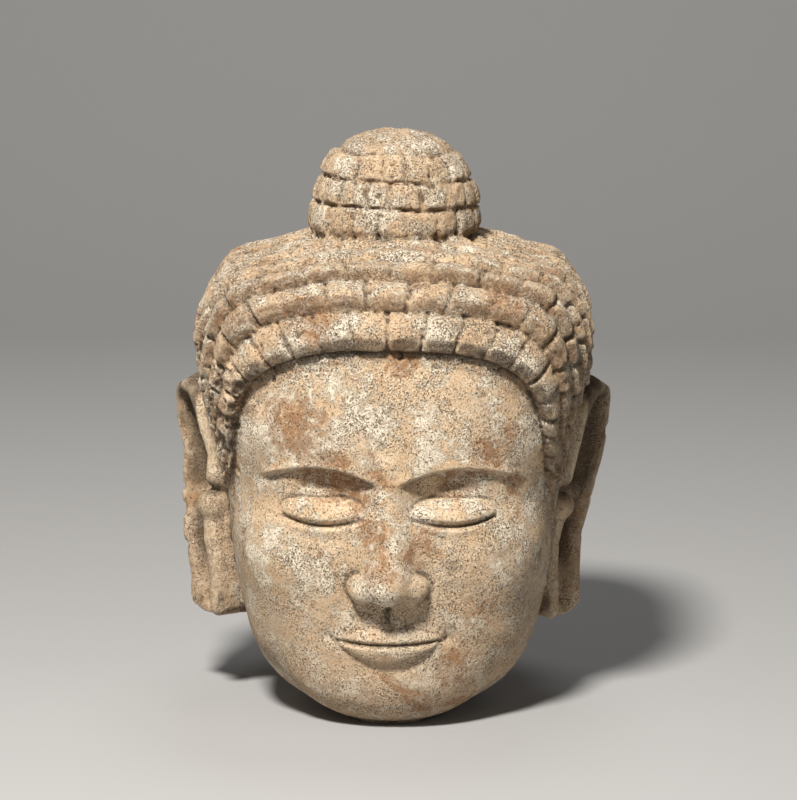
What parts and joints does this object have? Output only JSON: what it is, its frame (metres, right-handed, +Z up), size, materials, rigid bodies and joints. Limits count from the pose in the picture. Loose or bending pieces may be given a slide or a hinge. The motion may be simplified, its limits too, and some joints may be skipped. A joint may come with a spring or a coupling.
{
  "type": "carved stone head",
  "caption": "Weathered stone head with a calm face, closed eyes, long slit ear lobes, hair in rows of square-cut curls and a topknot, standing on its broken neck",
  "frame": {"origin": "centre of the bounding box in plan, on the flat broken underside of the neck that the head stands on", "axes": "the face looks along -Y, +Z is up, and X runs from ear to ear"},
  "size_m": [0.2292, 0.2254, 0.3],
  "materials": {
    "weathered_stone": "matte"
  },
  "bodies": {
    "root": {"head": "weathered_stone"}
  },
  "joints": []
}
